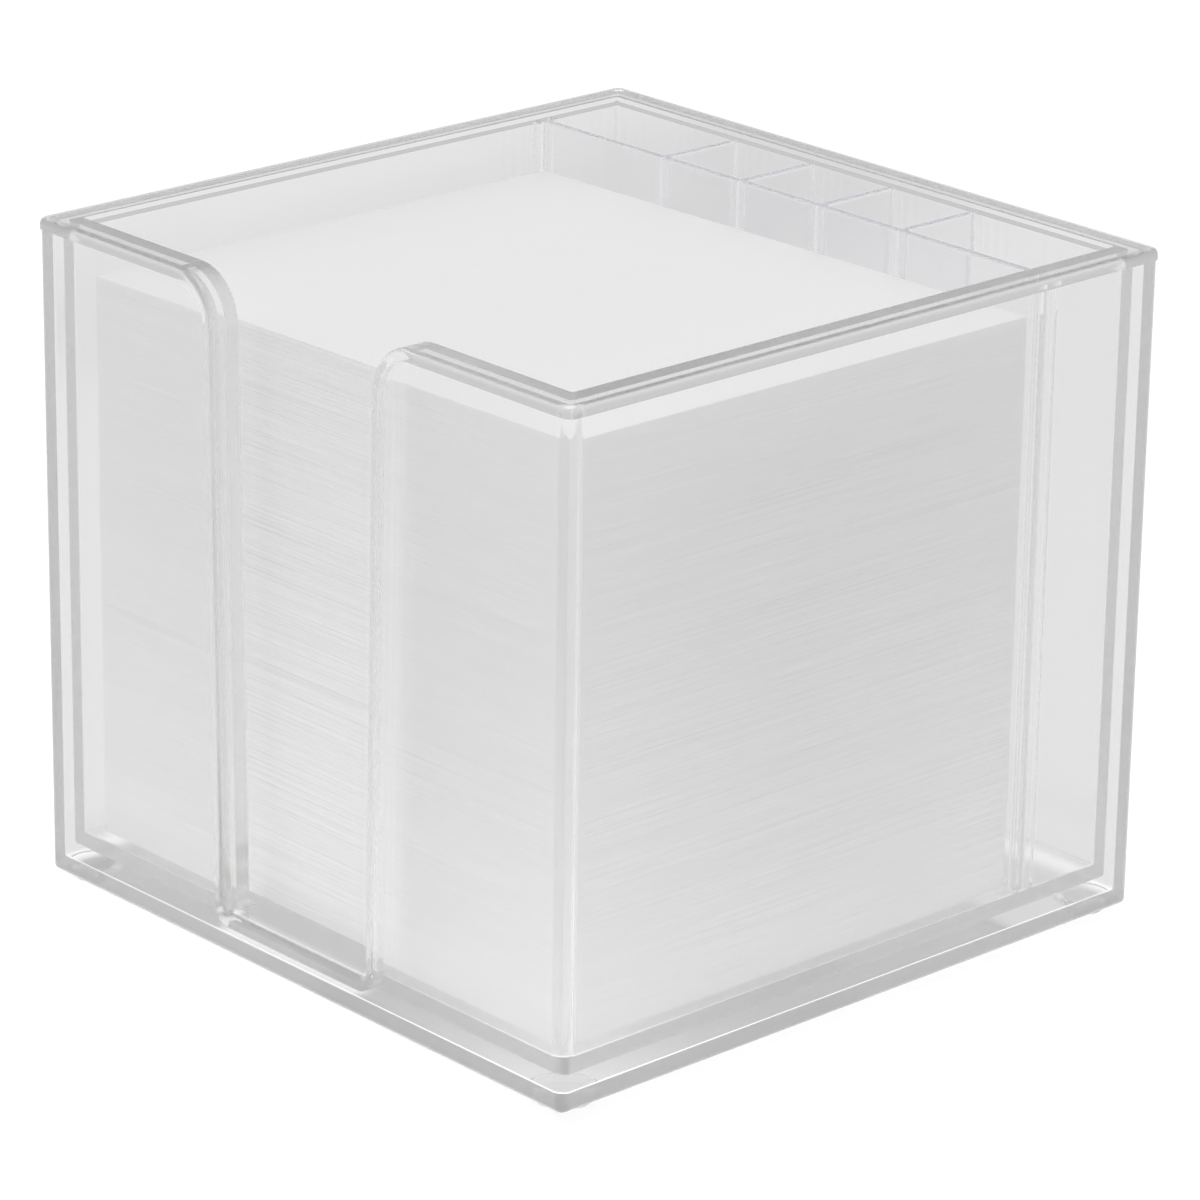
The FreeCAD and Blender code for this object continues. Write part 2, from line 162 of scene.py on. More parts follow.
# world: a white tent, brightest above and on the left
tentLight = {
    "level": 0.485,
    "towardsLeft": 0.40,
    "towardsRear": 0.18,
    "towardsTop": 0.575,
    "clearLevel": 0.72,         # level that clear walls show
    "clearFront": 0.14,         # brighter towards the front and the right
    "clearTop": 0.15,
    "lampGlow": 2.0,            # a soft lamp overhead, which draws the highlights along rounded edges
    "lampEdge": (0.80, 0.95),   # height of the direction where it starts and where it is full
}


def hangTent(look):
    # light is a level plus a share of each part of the direction: to the left, to the rear and up
    world = bpy.data.worlds.new("whiteTent")
    world.use_nodes = True
    world.cycles.sampling_method = "NONE"     # an even tent needs no aimed sampling
    scene.world = world
    tree = world.node_tree
    tree.nodes.clear()
    path = addNode(tree, "ShaderNodeLightPath", (-600, 400))
    direction = addNode(tree, "ShaderNodeTexCoord", (-1000, 0))
    parts = addNode(tree, "ShaderNodeSeparateXYZ", (-820, 0))
    wire(tree, direction.outputs["Generated"], parts.inputs[0])
    x, y, z = parts.outputs
    left = mathNode(tree, "MULTIPLY", (-640, 160), x, -look["towardsLeft"])
    rear = mathNode(tree, "MULTIPLY", (-640, 0), y, look["towardsRear"])
    top = mathNode(tree, "MULTIPLY", (-640, -160), z, look["towardsTop"])
    sides = mathNode(tree, "ADD", (-460, 80), left, rear)
    slope = mathNode(tree, "ADD", (-280, 0), sides, top)
    light = addNode(tree, "ShaderNodeBackground", (80, 0), Color=pureWhite)
    wire(tree, mathNode(tree, "ADD", (-100, 0), slope, look["level"]), light.inputs["Strength"])
    # what clear walls show has a level and slopes of its own, and the lamp
    forward = mathNode(tree, "SUBTRACT", (-640, -320), x, y)
    ahead = mathNode(tree, "MULTIPLY", (-460, -320), forward, look["clearFront"])
    above = mathNode(tree, "MULTIPLY", (-460, -480), z, look["clearTop"])
    lamp = rangeNode(tree, (-460, -640), z, *look["lampEdge"], high=look["lampGlow"])
    plain = mathNode(tree, "ADD", (-280, -320), ahead, above)
    lamped = mathNode(tree, "ADD", (-280, -480), plain, lamp)
    through = addNode(tree, "ShaderNodeBackground", (80, -160), Color=pureWhite)
    wire(tree, mathNode(tree, "ADD", (-100, -320), lamped, look["clearLevel"]), through.inputs["Strength"])
    clear = mixShaders(tree, (280, 0), seenInClear(tree, path), light.outputs[0], through.outputs[0])
    white = addNode(tree, "ShaderNodeBackground", (280, -160), Color=pureWhite, Strength=1.0)
    mix = mixShaders(tree, (460, 0), path.outputs["Is Camera Ray"], clear, white.outputs[0])
    out = addNode(tree, "ShaderNodeOutputWorld", (640, 0))
    wire(tree, mix, out.inputs["Surface"])


hangTent(tentLight)


# floor: a lit white table, shown white to the camera with the object's faint shadow kept; shade is painted
# into its glow under the box and the paper, and light and shade are painted into what clear walls show of it
lightTable = {
    "half": 4.0,
    "paint": (0.5, 0.5, 0.5, 1.0),
    "glowFar": 0.40,            # light that comes up through the table
    "glowNear": 1.10,           # and in a soft pool round the box
    "poolReach": 0.12,
    "soft": 0.0015,             # half the width of a patch's soft edge
    "paintedShadeUnderBox": 0.12,           # painted shade: the glow under the clear box is this much less
    "boxMiddle": (0.0, 0.0),
    "boxHalf": (0.0485, 0.0485),
    "paintedShadeUnderPaper": 0.32,         # painted shade under the paper in it, this much more
    "paperMiddle": (0.0, -0.00775),
    "paperHalf": (0.0475, 0.03975),
    "ring": 0.6,                # painted light round the box, standing in for light that the walls let down
    "ringHalf": (0.0515, 0.0515),
    "paintedFrontLift": 0.90,          # painted light: clear walls show the table brighter in front
    "frontEdge": (0.0515, 0.12),      # right less rear, where that starts and where it is full
    "paintedSlotLight": 0.60,          # painted light a little behind the open slot, standing in for light that it lets down
    "slotMiddle": (-0.006, -0.0455),
    "slotHalf": (0.0139, 0.0022),
    "paintedRearShade": 0.14,          # painted shadow of the box, far out on the table at its rear left
    "rearTurn": 0.10,           # the shade lies across the direction left, less this share of rear
    "rearMiddle": (0.208, 0.190),
    "rearHalf": (0.042, 0.100),
    "rearSoft": 0.020,
    "glowSeen": 0.64,           # level that the camera sees
    "inClear": 0.82,            # level that clear walls show
}


def softBand(tree, socket, middle, half, soft, spot):
    # one within the half width of the middle, falling to nothing over a soft edge
    x, y = spot
    offset = mathNode(tree, "SUBTRACT", (x, y), socket, middle)
    aside = mathNode(tree, "ABSOLUTE", (x + 180, y), offset)
    return rangeNode(tree, (x + 360, y), aside, half - soft, half + soft, low=1.0, high=0.0)


def softPatch(tree, sockets, middle, half, soft, spot):
    # a soft rectangle is the product of a band across and a band along
    x, y = spot
    across = softBand(tree, sockets[0], middle[0], half[0], soft, (x, y))
    along = softBand(tree, sockets[1], middle[1], half[1], soft, (x, y - 160))
    return mathNode(tree, "MULTIPLY", (x + 600, y - 60), across, along)


def poolFall(tree, place, reach):
    # the pool falls off as one over one plus the squared distance
    distance = addNode(tree, "ShaderNodeVectorMath", (-1300, -160), operation="LENGTH")
    wire(tree, place, distance.inputs[0])
    share = mathNode(tree, "DIVIDE", (-1120, -160), distance.outputs["Value"], reach)
    squared = mathNode(tree, "MULTIPLY", (-940, -160), share, share)
    return mathNode(tree, "DIVIDE", (-580, -160), 1.0, mathNode(tree, "ADD", (-760, -160), squared, 1.0))


def plainTable(tree, look, path, fall, left):
    # paint plus a glow, which is the pool times what the painted shade under the box and its paper leaves of
    # it, or even to the camera
    paint = addNode(tree, "ShaderNodeBsdfDiffuse", (200, 320), Color=look["paint"])
    pool = mathNode(tree, "MULTIPLY", (-400, -160), fall, look["glowNear"] - look["glowFar"])
    bare = mathNode(tree, "ADD", (-220, -160), pool, look["glowFar"])
    level = addNode(tree, "ShaderNodeMix", (120, -60))
    level.inputs["B"].default_value = look["glowSeen"]
    wire(tree, path.outputs["Is Camera Ray"], level.inputs["Factor"])
    wire(tree, mathNode(tree, "MULTIPLY", (-40, -160), bare, left), level.inputs["A"])
    glow = addNode(tree, "ShaderNodeEmission", (300, 60), Color=pureWhite)
    wire(tree, level.outputs["Result"], glow.inputs["Strength"])
    both = addNode(tree, "ShaderNodeAddShader", (480, 160))
    wire(tree, paint.outputs[0], both.inputs[0])
    wire(tree, glow.outputs[0], both.inputs[1])
    return both.outputs[0]


def tableInClear(tree, look, sockets, fall, underBox, left):
    # what the painted shade under the box leaves of the light, plus a painted ring of light, a painted lift
    # in front and painted light under the slot, less a painted shadow at the rear
    x, y = sockets
    # painted light in a ring round the box, outside the painted shade under it
    ring = softPatch(tree, sockets, look["boxMiddle"], look["ringHalf"], look["soft"], (-1100, -1000))
    beside = mathNode(tree, "SUBTRACT", (-320, -1160), 1.0, underBox)
    around = mathNode(tree, "MULTIPLY", (-320, -1060), ring, beside)
    paintedRingLight = mathNode(tree, "MULTIPLY", (-140, -1060), around, look["ring"])
    lit = mathNode(tree, "ADD", (120, -400), left, paintedRingLight)
    # painted light: the table shows brighter in front and on the right, near the box
    forward = mathNode(tree, "SUBTRACT", (-1100, -1400), x, y)
    ahead = rangeNode(tree, (-900, -1400), forward, *look["frontEdge"])
    near = mathNode(tree, "MULTIPLY", (-700, -1400), fall, look["paintedFrontLift"])
    lift = mathNode(tree, "MULTIPLY", (-500, -1400), near, ahead)
    # painted light on the table a little behind the open slot
    underSlot = softPatch(tree, sockets, look["slotMiddle"], look["slotHalf"], look["soft"], (-1100, -1640))
    slotPaintedLight = mathNode(tree, "MULTIPLY", (-320, -1700), underSlot, look["paintedSlotLight"])
    # painted shadow of the box far out at its rear left
    rearShare = mathNode(tree, "MULTIPLY", (-1500, -2000), y, look["rearTurn"])
    rightward = mathNode(tree, "ADD", (-1400, -2000), x, rearShare)
    leftward = mathNode(tree, "MULTIPLY", (-1300, -2000), rightward, -1.0)
    behind = softPatch(tree, (leftward, y), look["rearMiddle"], look["rearHalf"], look["rearSoft"],
                       (-1100, -1960))
    rearPaintedShade = mathNode(tree, "MULTIPLY", (-320, -2000), behind, look["paintedRearShade"])
    slotLightLessRearShade = mathNode(tree, "SUBTRACT", (-140, -2000), slotPaintedLight, rearPaintedShade)
    lifted = mathNode(tree, "ADD", (300, -400), lit, lift)
    whole = mathNode(tree, "ADD", (300, -560), lifted, slotLightLessRearShade)
    glow = addNode(tree, "ShaderNodeEmission", (480, -120), Color=pureWhite)
    wire(tree, mathNode(tree, "MULTIPLY", (300, -240), whole, look["inClear"]), glow.inputs["Strength"])
    return glow.outputs[0]


def tableMaterial(look):
    material = newMaterial("whiteTable")
    material.cycles.emission_sampling = "NONE"
    tree = material.node_tree
    path = addNode(tree, "ShaderNodeLightPath", (-600, 200))
    place = addNode(tree, "ShaderNodeTexCoord", (-1500, -260))
    parts = addNode(tree, "ShaderNodeSeparateXYZ", (-1300, -420))
    wire(tree, place.outputs["Object"], parts.inputs[0])
    sockets = parts.outputs[0], parts.outputs[1]
    fall = poolFall(tree, place.outputs["Object"], look["poolReach"])
    # painted shade: the glow is darker under the box and darker still under the paper; left is what that
    # shade leaves
    underBox = softPatch(tree, sockets, look["boxMiddle"], look["boxHalf"], look["soft"], (-1100, -360))
    underPaper = softPatch(tree, sockets, look["paperMiddle"], look["paperHalf"], look["soft"], (-1100, -680))
    boxPaintedShade = mathNode(tree, "MULTIPLY", (-320, -420), underBox, look["paintedShadeUnderBox"])
    paperPaintedShade = mathNode(tree, "MULTIPLY", (-320, -740), underPaper, look["paintedShadeUnderPaper"])
    paintedShadeTotal = mathNode(tree, "ADD", (-140, -560), boxPaintedShade, paperPaintedShade)
    left = mathNode(tree, "SUBTRACT", (40, -560), 1.0, paintedShadeTotal)
    plain = plainTable(tree, look, path, fall, left)
    through = tableInClear(tree, look, sockets, fall, underBox, left)
    mix = mixShaders(tree, (660, 60), seenInClear(tree, path), plain, through)
    out = addNode(tree, "ShaderNodeOutputMaterial", (840, 60))
    wire(tree, mix, out.inputs["Surface"])
    return material


def layTable(look):
    h = look["half"]
    mesh = bpy.data.meshes.new("lightTable")
    mesh.from_pydata([(-h, -h, 0), (h, -h, 0), (h, h, 0), (-h, h, 0)], [], [(0, 1, 2, 3)])
    mesh.materials.append(tableMaterial(look))
    table = bpy.data.objects.new("lightTable", mesh)
    scene.collection.objects.link(table)


layTable(lightTable)
print("tent and floor ready")


# clear plastic: faint flow marks from the mould and finger smudges, the same on all the mouldings
mouldMarks = {
    "flowStretch": (1.0, 1.0, 0.35),  # the plastic flowed upwards
    "flowDetail": 2.0,
    "flowRoughness": 0.45,
    "flowDistortion": 0.6,
    "smudgeDetail": 4.0,
    "smudgeRoughness": 0.6,
    "smudgeDistortion": 1.2,
    "smudgeEdge": (0.42, 0.72),       # noise where a smudge starts and where it is full
}
markSockets = ("Flow Scale", "Smudge Scale", "Clean", "Smudged")


def mouldedSkin(look):
    # height is noise stretched upwards, roughness steps from clean to smudged where another noise is high
    group = bpy.data.node_groups.new("mouldedSkin", "ShaderNodeTree")
    for name in markSockets:
        group.interface.new_socket(name, in_out="INPUT", socket_type="NodeSocketFloat")
    for name in ("Roughness", "Height"):
        group.interface.new_socket(name, in_out="OUTPUT", socket_type="NodeSocketFloat")
    given = addNode(group, "NodeGroupInput", (-900, 0))
    place = addNode(group, "ShaderNodeTexCoord", (-1100, 200))
    stretch = addNode(group, "ShaderNodeMapping", (-900, 300), Scale=look["flowStretch"])
    wire(group, place.outputs["Object"], stretch.inputs["Vector"])
    flow = addNode(group, "ShaderNodeTexNoise", (-650, 300), Detail=look["flowDetail"],
                   Roughness=look["flowRoughness"], Distortion=look["flowDistortion"])
    wire(group, stretch.outputs[0], flow.inputs["Vector"])
    wire(group, given.outputs["Flow Scale"], flow.inputs["Scale"])
    smudge = addNode(group, "ShaderNodeTexNoise", (-650, -100), Detail=look["smudgeDetail"],
                     Roughness=look["smudgeRoughness"], Distortion=look["smudgeDistortion"])
    wire(group, place.outputs["Object"], smudge.inputs["Vector"])
    wire(group, given.outputs["Smudge Scale"], smudge.inputs["Scale"])
    ramp = addNode(group, "ShaderNodeMapRange", (-420, -100), interpolation_type="SMOOTHSTEP")
    ramp.inputs["From Min"].default_value, ramp.inputs["From Max"].default_value = look["smudgeEdge"]
    wire(group, smudge.outputs["Fac"], ramp.inputs["Value"])
    wire(group, given.outputs["Clean"], ramp.inputs["To Min"])
    wire(group, given.outputs["Smudged"], ramp.inputs["To Max"])
    out = addNode(group, "NodeGroupOutput", (0, 0))
    wire(group, ramp.outputs["Result"], out.inputs["Roughness"])
    wire(group, flow.outputs["Fac"], out.inputs["Height"])
    return group


skin = mouldedSkin(mouldMarks)


def clearPlastic(name, look):
    material = newMaterial(name)
    tree = material.node_tree
    marks = addNode(tree, "ShaderNodeGroup", (-600, 0), node_tree=skin)
    for key in markSockets:
        marks.inputs[key].default_value = look[key]
    bump = addNode(tree, "ShaderNodeBump", (-300, -200), Strength=1.0, Distance=look["flowHeight"])
    wire(tree, marks.outputs["Height"], bump.inputs["Height"])
    shader = addNode(tree, "ShaderNodeBsdfPrincipled", (0, 0), IOR=look["bending"])
    shader.inputs["Base Color"].default_value = look["tint"]
    shader.inputs["Transmission Weight"].default_value = 1.0
    wire(tree, marks.outputs["Roughness"], shader.inputs["Roughness"])
    wire(tree, bump.outputs[0], shader.inputs["Normal"])
    depth = addNode(tree, "ShaderNodeVolumeAbsorption", (0, -500), Color=look["depthTint"],
                    Density=look["depthLoss"])
    out = addNode(tree, "ShaderNodeOutputMaterial", (320, 0))
    wire(tree, shader.outputs[0], out.inputs["Surface"])
    wire(tree, depth.outputs[0], out.inputs["Volume"])
    return material


shellPlastic = {
    "tint": (0.99, 0.99, 0.99, 1.0),
    "bending": 1.50,
    "depthTint": (0.0, 0.0, 0.0, 1.0),
    "depthLoss": 3.0,           # per metre of wall that light runs along
    "Flow Scale": 60.0,
    "flowHeight": 0.00004,
    "Smudge Scale": 45.0,
    "Clean": 0.07,
    "Smudged": 0.12,
}
insertPlastic = {
    "tint": (0.968, 0.968, 0.974, 1.0),
    "bending": 1.50,
    "depthTint": (0.0, 0.0, 0.25, 1.0),
    "depthLoss": 2.0,
    "Flow Scale": 70.0,
    "flowHeight": 0.00002,
    "Smudge Scale": 55.0,
    "Clean": 0.08,
    "Smudged": 0.14,
}
footResin = {
    "tint": (0.93, 0.93, 0.93, 1.0),
    "bending": 1.42,
    "depthTint": (0.0, 0.0, 0.0, 1.0),
    "depthLoss": 40.0,
    "Flow Scale": 220.0,
    "flowHeight": 0.000018,
    "Smudge Scale": 250.0,
    "Clean": 0.16,
    "Smudged": 0.28,
}
shellMaterial = clearPlastic("clearShell", shellPlastic)
insertMaterial = clearPlastic("clearInsert", insertPlastic)
footMaterial = clearPlastic("clearFoot", footResin)

for name in ("outer_shell", "inner_shell"):
    nodes[name].data.materials.clear()
    nodes[name].data.materials.append(shellMaterial)
print("clear shells dressed")


# shapes that feet and insert share
def closedFaces(levels, ring):
    # quads join each level's ring of points to the next, and one face closes each end
    around = np.arange(ring)
    after = (around + 1) % ring
    rows = np.arange(levels - 1)[:, None] * ring
    walls = np.stack([rows + around, rows + after, rows + ring + after, rows + ring + around], 2)
    return walls.reshape(-1, 4).tolist() + [around[::-1].tolist(), (around + (levels - 1) * ring).tolist()]


def newPiece(title, points, faces, material):
    mesh = bpy.data.meshes.new(title)
    mesh.from_pydata(points.tolist(), [], faces)
    mesh.materials.append(material)
    piece = bpy.data.objects.new(title, mesh)
    scene.collection.objects.link(piece)
    return piece


# feet: flat-bottomed domes whose glue wets the floor of the box, so that they show through it
footShape = {
    "flat": 0.0022,             # radius of the flat underneath
    "side": 0.0004,             # straight part of the edge
    "bond": 0.00008,            # glue film and its reach into the floor
    "lift": 0.00003,            # clear of the table
    "around": 96,
    "domeSteps": 10,
}


def makeFoot(name, look):
    # a profile carried round an upright axis: an arc from the flat up to the edge, then straight to the glue
    low, high = (np.array(v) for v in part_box(name))
    middle = (low + high) / 2
    base = (high[0] - low[0]) / 2
    rise = high[2] - low[2] - look["side"]
    arcCentre = (base ** 2 + rise ** 2 - look["flat"] ** 2) / (2 * rise)
    arcRadius = math.hypot(look["flat"], arcCentre)
    swing = np.linspace(math.atan2(-arcCentre, look["flat"]), math.atan2(rise - arcCentre, base),
                        look["domeSteps"] + 1)
    radius = np.append(arcRadius * np.cos(swing), base)
    height = np.append(low[2] + arcCentre + arcRadius * np.sin(swing), high[2] + look["bond"])
    height[0] += look["lift"]
    turn = np.arange(look["around"]) * 2 * math.pi / look["around"]
    x = middle[0] + radius[:, None] * np.cos(turn)
    y = middle[1] + radius[:, None] * np.sin(turn)
    z = np.broadcast_to(height[:, None], x.shape)
    points = np.stack([x, y, z], -1).reshape(-1, 3)
    piece = newPiece("pad_" + name[len("foot_"):], points, closedFaces(len(radius), len(turn)), footMaterial)
    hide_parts(name)
    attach(piece, "box")


for name in sorted(nodes):
    if name.startswith("foot_"):
        makeFoot(name, footShape)
print("feet made")


# pen insert: a wall across the box with cross walls behind it, edges rounded all round
penInsert = {
    "dividerWall": 0.0012,
    "crossWall": 0.0011,
    "crossPitch": 0.0148,
    "crossCount": 4,
    "edge": 0.0003,             # rounding of the top and bottom edges
    "corner": 0.0004,           # rounding of the upright corners
    "cornerSteps": 4,
    "edgeSteps": 5,
    "lift": 0.00003,            # it stands this much clear of the floor
}


def roundedOutline(corners, radius, steps):
    # each square corner becomes an arc from the end of one side to the start of the next; the points come
    # back with their outward normals, which turn along the arc
    before = corners - np.roll(corners, 1, axis=0)
    after = np.roll(corners, -1, axis=0) - corners
    before /= np.linalg.norm(before, axis=1, keepdims=True)
    after /= np.linalg.norm(after, axis=1, keepdims=True)
    # bend is one where the corner juts out
    bend = np.sign(before[:, 0] * after[:, 1] - before[:, 1] * after[:, 0])
    normalIn = np.stack([before[:, 1], -before[:, 0]], 1)
    normalOut = np.stack([after[:, 1], -after[:, 0]], 1)
    middle = corners - radius * before + radius * after
    turn = np.linspace(0, math.pi / 2, steps + 1)[None, :, None]
    normals = normalIn[:, None] * np.cos(turn) + normalOut[:, None] * np.sin(turn)
    points = middle[:, None] + normals * radius * bend[:, None, None]
    return points.reshape(-1, 2), normals.reshape(-1, 2)


def insertCorners(look, low, high):
    # the plan goes round the wall's front, then in and out along each cross wall from right to left
    count = look["crossCount"]
    rear = low[1] + look["dividerWall"]
    middles = ((count - 1) / 2 - np.arange(count)) * look["crossPitch"]
    half = look["crossWall"] / 2
    across = np.stack([middles + half, middles + half, middles - half, middles - half], 1).reshape(-1)
    along = np.tile([rear, high[1], high[1], rear], count)
    teeth = np.stack([across, along], 1)
    front = np.array([[low[0], rear], [low[0], low[1]], [high[0], low[1]], [high[0], rear]])
    return np.concatenate([front, teeth])


def makeInsert(look):
    # the plan is carried upwards along a profile that draws in at both ends by a quarter circle
    low, high = (np.array(v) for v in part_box("pen_insert"))
    low[2] += look["lift"]
    plan, facing = roundedOutline(insertCorners(look, low, high), look["corner"], look["cornerSteps"])
    r = look["edge"]
    swing = np.linspace(0, math.pi / 2, look["edgeSteps"] + 1)
    inset = np.concatenate([r - r * np.sin(swing), r - r * np.cos(swing)])
    height = np.concatenate([low[2] + r - r * np.cos(swing), high[2] - r + r * np.sin(swing)])
    tilt = np.concatenate([swing - math.pi / 2, swing])
    levels, ring = len(inset), len(plan)
    flat = plan[None] - facing[None] * inset[:, None, None]
    upright = np.broadcast_to(height[:, None, None], (levels, ring, 1))
    points = np.concatenate([flat, upright], 2).reshape(-1, 3)
    lean = np.broadcast_to(np.sin(tilt)[:, None, None], (levels, ring, 1))
    normals = np.concatenate([facing[None] * np.cos(tilt)[:, None, None], lean], 2).reshape(-1, 3)
    piece = newPiece("penInsert", points, closedFaces(levels, ring), insertMaterial)
    piece.data.shade_smooth()
    piece.data.normals_split_custom_set_from_vertices(normals.tolist())
    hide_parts("pen_insert")
    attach(piece, "insert")


makeInsert(penInsert)
print("pen insert made")


# loose sheets
paperLook = {
    "perSheaf": 50,
    "sideSteps": 4,             # points along each side of a sheet
    "fill": 0.97,               # sheet thickness as a share of its pitch
    "lean": 0.0125,             # the pile is this much lower on its left
    "drift": 0.00006,           # slow wander of the pile's edge
    "driftSheets": 40,          # over about this many sheets
    "scatter": 0.000012,        # one sheet against the next
    "ragged": 0.000010,         # along one sheet's edge
    "twist": 0.0001,            # radians
    "clearance": 0.00003,       # under the first sheet
    "white": (0.92, 0.92, 0.92),
    "toneSpread": 0.006,        # one sheet's white against the next
    "toneLimit": 0.015,
    "edgeFacing": 0.5,          # a face less upright than this is a cut edge
    "streakAlong": 45.0,        # per metre, along a sheet's edge
    "streakAcross": 0.40,       # per sheet
    "streakDepth": 0.18,
    "streakDetail": 3.0,
    "streakRoughness": 0.6,
    "cloudScale": 160.0,
    "cloudDepth": 0.012,
    "cloudDetail": 3.0,
    "toothScale": 3500.0,
    "toothHeight": 0.000004,
    "toothDetail": 2.0,
    "roughness": (0.78, 0.92),
    "sheen": 0.2,
    "seed": 7,
}


def paperMaterial(look):
    # white times a tone for each sheet, faint clouds, and streaks along the cut edges, a few sheets high
    material = newMaterial("memoPaper")
    tree = material.node_tree
    place = addNode(tree, "ShaderNodeTexCoord", (-1500, 0))
    parts = addNode(tree, "ShaderNodeSeparateXYZ", (-1300, 100))
    wire(tree, place.outputs["Object"], parts.inputs[0])
    number = addNode(tree, "ShaderNodeAttribute", (-1300, -120), attribute_name="sheetNumber")
    lengthwise = addNode(tree, "ShaderNodeCombineXYZ", (-900, 100))
    for slot in (0, 1):
        spot = (-1100, 160 - 160 * slot)
        along = mathNode(tree, "MULTIPLY", spot, parts.outputs[slot], look["streakAlong"])
        wire(tree, along, lengthwise.inputs[slot])
    across = mathNode(tree, "MULTIPLY", (-1100, -160), number.outputs["Fac"], look["streakAcross"])
    wire(tree, across, lengthwise.inputs[2])
    streaks = addNode(tree, "ShaderNodeTexNoise", (-700, 100), Scale=1.0, Detail=look["streakDetail"],
                      Roughness=look["streakRoughness"])
    wire(tree, lengthwise.outputs[0], streaks.inputs["Vector"])
    facing = addNode(tree, "ShaderNodeSeparateXYZ", (-1300, 320))
    wire(tree, place.outputs["Normal"], facing.inputs[0])
    upright = mathNode(tree, "ABSOLUTE", (-1100, 320), facing.outputs[2])
    edge = mathNode(tree, "LESS_THAN", (-900, 320), upright, look["edgeFacing"])
    onEdge = mathNode(tree, "MULTIPLY", (-700, 320), edge, look["streakDepth"])
    streak = mathNode(tree, "SUBTRACT", (-500, 220), streaks.outputs["Fac"], noiseMiddle)
    shift = mathNode(tree, "MULTIPLY", (-500, 100), streak, onEdge)
    clouds = addNode(tree, "ShaderNodeTexNoise", (-700, -160), Scale=look["cloudScale"],
                     Detail=look["cloudDetail"])
    wire(tree, place.outputs["Object"], clouds.inputs["Vector"])
    cloud = mathNode(tree, "SUBTRACT", (-500, -100), clouds.outputs["Fac"], noiseMiddle)
    blotch = mathNode(tree, "MULTIPLY", (-500, -220), cloud, look["cloudDepth"])
    tone = addNode(tree, "ShaderNodeAttribute", (-700, 480), attribute_name="sheetTone")
    marked = mathNode(tree, "ADD", (-300, 0), shift, blotch)
    light = mathNode(tree, "ADD", (-300, 100), marked, tone.outputs["Fac"])
    white = addNode(tree, "ShaderNodeVectorMath", (-150, 100), operation="SCALE")
    white.inputs[0].default_value = look["white"]
    wire(tree, light, white.inputs["Scale"])
    tooth = addNode(tree, "ShaderNodeTexNoise", (-500, -420), Scale=look["toothScale"],
                    Detail=look["toothDetail"])
    wire(tree, place.outputs["Object"], tooth.inputs["Vector"])
    bump = addNode(tree, "ShaderNodeBump", (-200, -420), Distance=look["toothHeight"])
    wire(tree, tooth.outputs["Fac"], bump.inputs["Height"])
    gloss = addNode(tree, "ShaderNodeMapRange", (-200, -160))
    gloss.inputs["To Min"].default_value, gloss.inputs["To Max"].default_value = look["roughness"]
    wire(tree, tooth.outputs["Fac"], gloss.inputs["Value"])
    shader = addNode(tree, "ShaderNodeBsdfPrincipled", (60, 0))
    shader.inputs["Specular IOR Level"].default_value = look["sheen"]
    wire(tree, white.outputs["Vector"], shader.inputs["Base Color"])
    wire(tree, gloss.outputs["Result"], shader.inputs["Roughness"])
    wire(tree, bump.outputs[0], shader.inputs["Normal"])
    out = addNode(tree, "ShaderNodeOutputMaterial", (380, 0))
    wire(tree, shader.outputs[0], out.inputs["Surface"])
    return material


paper = paperMaterial(paperLook)


def wander(random, count, reach, smooth):
    # white noise averaged over its neighbours and scaled to the reach
    noise = random.normal(size=count + 2 * smooth)
    kernel = np.hanning(2 * smooth + 1)
    line = np.convolve(noise, kernel / kernel.sum(), mode="same")[smooth:smooth + count]
    return line / abs(line).max() * reach


def sheetOutline(steps):
    # a square from minus one to one with each side in equal steps, and the way out at each point
    run = np.linspace(-1, 1, steps + 1)[:-1]
    side = np.ones(steps)
    points = np.concatenate([
        np.stack([run, -side], 1), np.stack([side, run], 1),
        np.stack([-run, side], 1), np.stack([-side, -run], 1)])
    return points, np.where(abs(points) == 1, points, 0)


sheafNames = sorted(n for n in nodes if n.startswith("memo_sheaf_"))
total = len(sheafNames) * paperLook["perSheaf"]
random = np.random.default_rng(paperLook["seed"])
outline, outwards = sheetOutline(paperLook["sideSteps"])
sheetShift = np.stack([
    wander(random, total, paperLook["drift"], paperLook["driftSheets"])
    + random.normal(size=total) * paperLook["scatter"]
    for axis in range(2)], axis=1)
sheetTwist = random.normal(size=total) * paperLook["twist"]
sheetRagged = random.normal(size=(total, len(outline), 1)) * paperLook["ragged"]
toneShift = random.normal(size=total) * paperLook["toneSpread"]
sheetTone = 1 + np.clip(toneShift, -paperLook["toneLimit"], paperLook["toneLimit"])
sheafBoxes = np.array([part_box(name) for name in sheafNames])
pileLow = np.append(sheafBoxes[:, 0, :2].mean(axis=0), sheafBoxes[0, 0, 2])
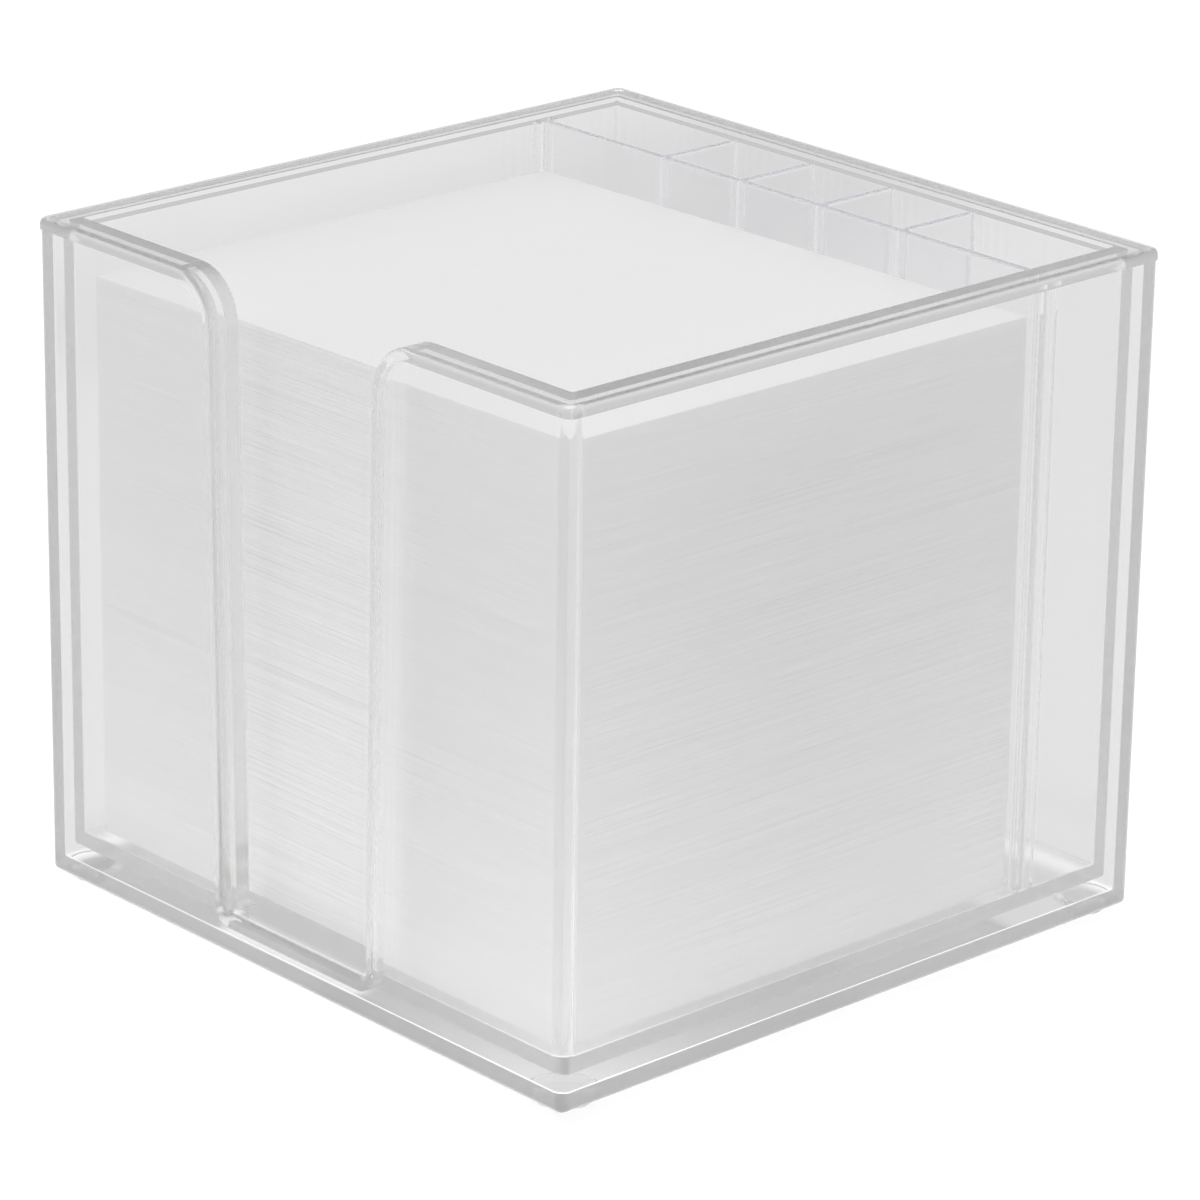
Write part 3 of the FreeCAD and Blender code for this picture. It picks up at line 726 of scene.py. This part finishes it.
pileHigh = np.append(sheafBoxes[:, 1, :2].mean(axis=0), sheafBoxes[-1, 1, 2])


def makeSheaf(name, index, look):
    # each sheet is a thin slab: a stepped outline, turned a little, shifted and made ragged, at two heights,
    # and the heights shrink from right to left by the pile's lean
    low, high = (np.array(v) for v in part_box(name))
    count = look["perSheaf"]
    ring = len(outline)
    pick = slice(index * count, (index + 1) * count)
    middle = (pileLow + pileHigh) / 2
    half = (pileHigh - pileLow) / 2
    flat = outline[None] * half[:2] + outwards[None] * sheetRagged[pick]
    turn = sheetTwist[pick, None]
    x = flat[..., 0] * np.cos(turn) - flat[..., 1] * np.sin(turn) + middle[0] + sheetShift[pick, 0:1]
    y = flat[..., 0] * np.sin(turn) + flat[..., 1] * np.cos(turn) + middle[1] + sheetShift[pick, 1:2]
    pitch = (high[2] - low[2]) / count
    start = pileLow[2] + look["clearance"]
    under = low[2] - pileLow[2] + np.arange(count)[:, None] * pitch
    lower = look["lean"] * (1 - outline[None, :, 0]) / 2
    squeeze = 1 - look["clearance"] / (pileHigh[2] - pileLow[2]) - lower
    bottom = start + under * squeeze
    top = start + (under + pitch * look["fill"]) * squeeze
    points = np.stack([np.stack([x, y, z], -1) for z in (bottom, top)], 1).reshape(-1, 3)
    around = np.arange(ring)
    after = (around + 1) % ring
    walls = np.stack([around, after, after + ring, around + ring], 1)
    first = np.arange(count)[:, None, None] * 2 * ring
    faces = (first + walls[None]).reshape(-1, 4).tolist()
    faces += (first[:, 0] + around[None, ::-1]).tolist() + (first[:, 0] + ring + around[None]).tolist()
    piece = newPiece(name.replace("sheaf", "sheets"), points, faces, paper)
    for title, values in (("sheetTone", sheetTone[pick]), ("sheetNumber", np.arange(total)[pick])):
        layer = piece.data.attributes.new(title, "FLOAT", "POINT")
        layer.data.foreach_set("value", np.repeat(values, 2 * ring).astype(np.float32))
    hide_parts(name)
    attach(piece, "top_sheaf" if index == len(sheafNames) - 1 else "memo_stack")


for index, name in enumerate(sheafNames):
    makeSheaf(name, index, paperLook)
print("loose sheets stacked,", total)
